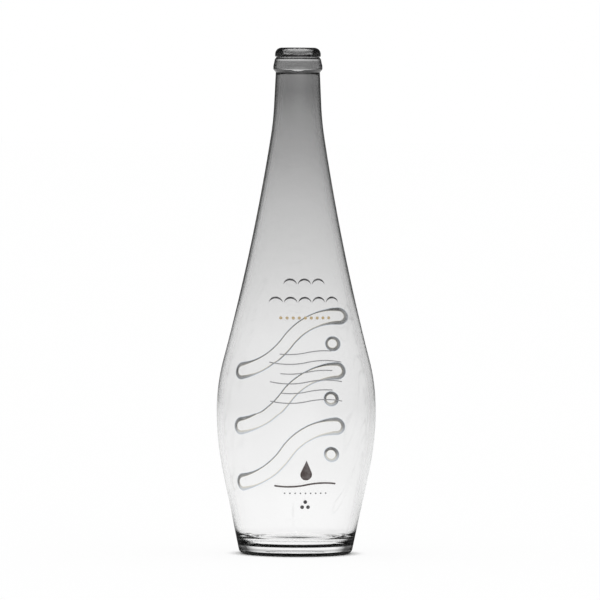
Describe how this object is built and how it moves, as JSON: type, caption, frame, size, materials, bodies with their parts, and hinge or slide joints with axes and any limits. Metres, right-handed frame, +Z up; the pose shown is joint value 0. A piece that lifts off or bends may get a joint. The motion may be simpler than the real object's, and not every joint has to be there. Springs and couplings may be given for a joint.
{
  "type": "glass water bottle",
  "caption": "Slender glass water bottle with a crown finish, long hollow shoulder, low round belly and punted foot, raised flow ribbons on the back and fired enamel motifs on the front.",
  "frame": {"origin": "centre of the foot, on the plane the bottle stands on", "axes": "+Z up along the bottle's axis, -Y towards the enamel decoration, +X to the right of it"},
  "size_m": [0.0928, 0.0936, 0.295],
  "materials": {
    "clear_glass": "polished",
    "charcoal_enamel": "satin",
    "gold_enamel": "satin",
    "grey_enamel": "satin",
    "umber_enamel": "satin"
  },
  "bodies": {
    "root": {"glass_bottle": "clear_glass", "wave_crests_upper": "charcoal_enamel", "wave_crests_lower": "charcoal_enamel", "gold_dot_row": "gold_enamel", "ripple_lines_long": "grey_enamel", "ripple_lines_short": "grey_enamel", "drop_mark": "umber_enamel", "mark_line": "umber_enamel", "fine_dot_row": "grey_enamel", "dot_triad": "charcoal_enamel"}
  },
  "joints": []
}
